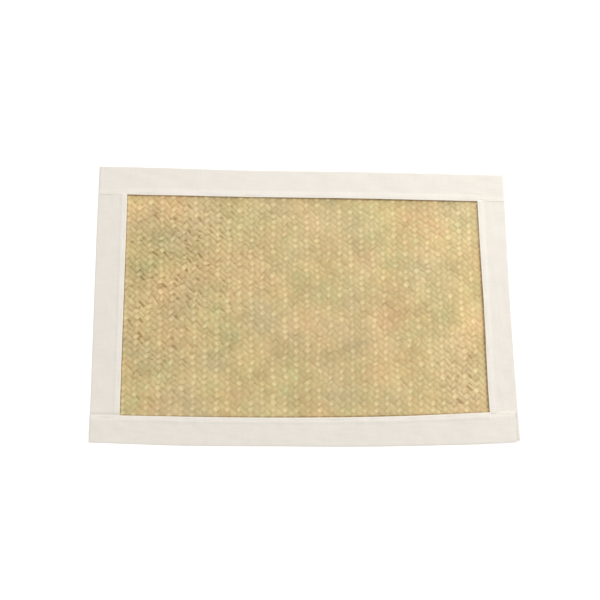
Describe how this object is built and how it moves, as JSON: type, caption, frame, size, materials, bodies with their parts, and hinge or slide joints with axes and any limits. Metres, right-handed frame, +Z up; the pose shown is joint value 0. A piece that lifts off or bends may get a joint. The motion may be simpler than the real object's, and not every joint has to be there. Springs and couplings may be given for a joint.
{
  "type": "placemat",
  "caption": "Rectangular placemat: a flat panel of plaited plant strands, framed by folded strips of cotton tape, that lies on a table under a place setting.",
  "frame": {"origin": "middle of the mat's flat underside, on the table that it lies on", "axes": "+X along the long side to the right, +Y to the far side, +Z up out of the mat"},
  "size_m": [0.45, 0.304, 0.0088],
  "materials": {
    "plaited_strands": "dry split plant strands in golden tan, plaited, with a slight natural sheen",
    "cotton_tape": "matt unbleached cotton, plain woven, off-white"
  },
  "bodies": {
    "root": {"plaited_panel": "plaited_strands", "tape_left": "cotton_tape", "tape_right": "cotton_tape", "tape_far": "cotton_tape", "tape_near": "cotton_tape"}
  },
  "joints": []
}
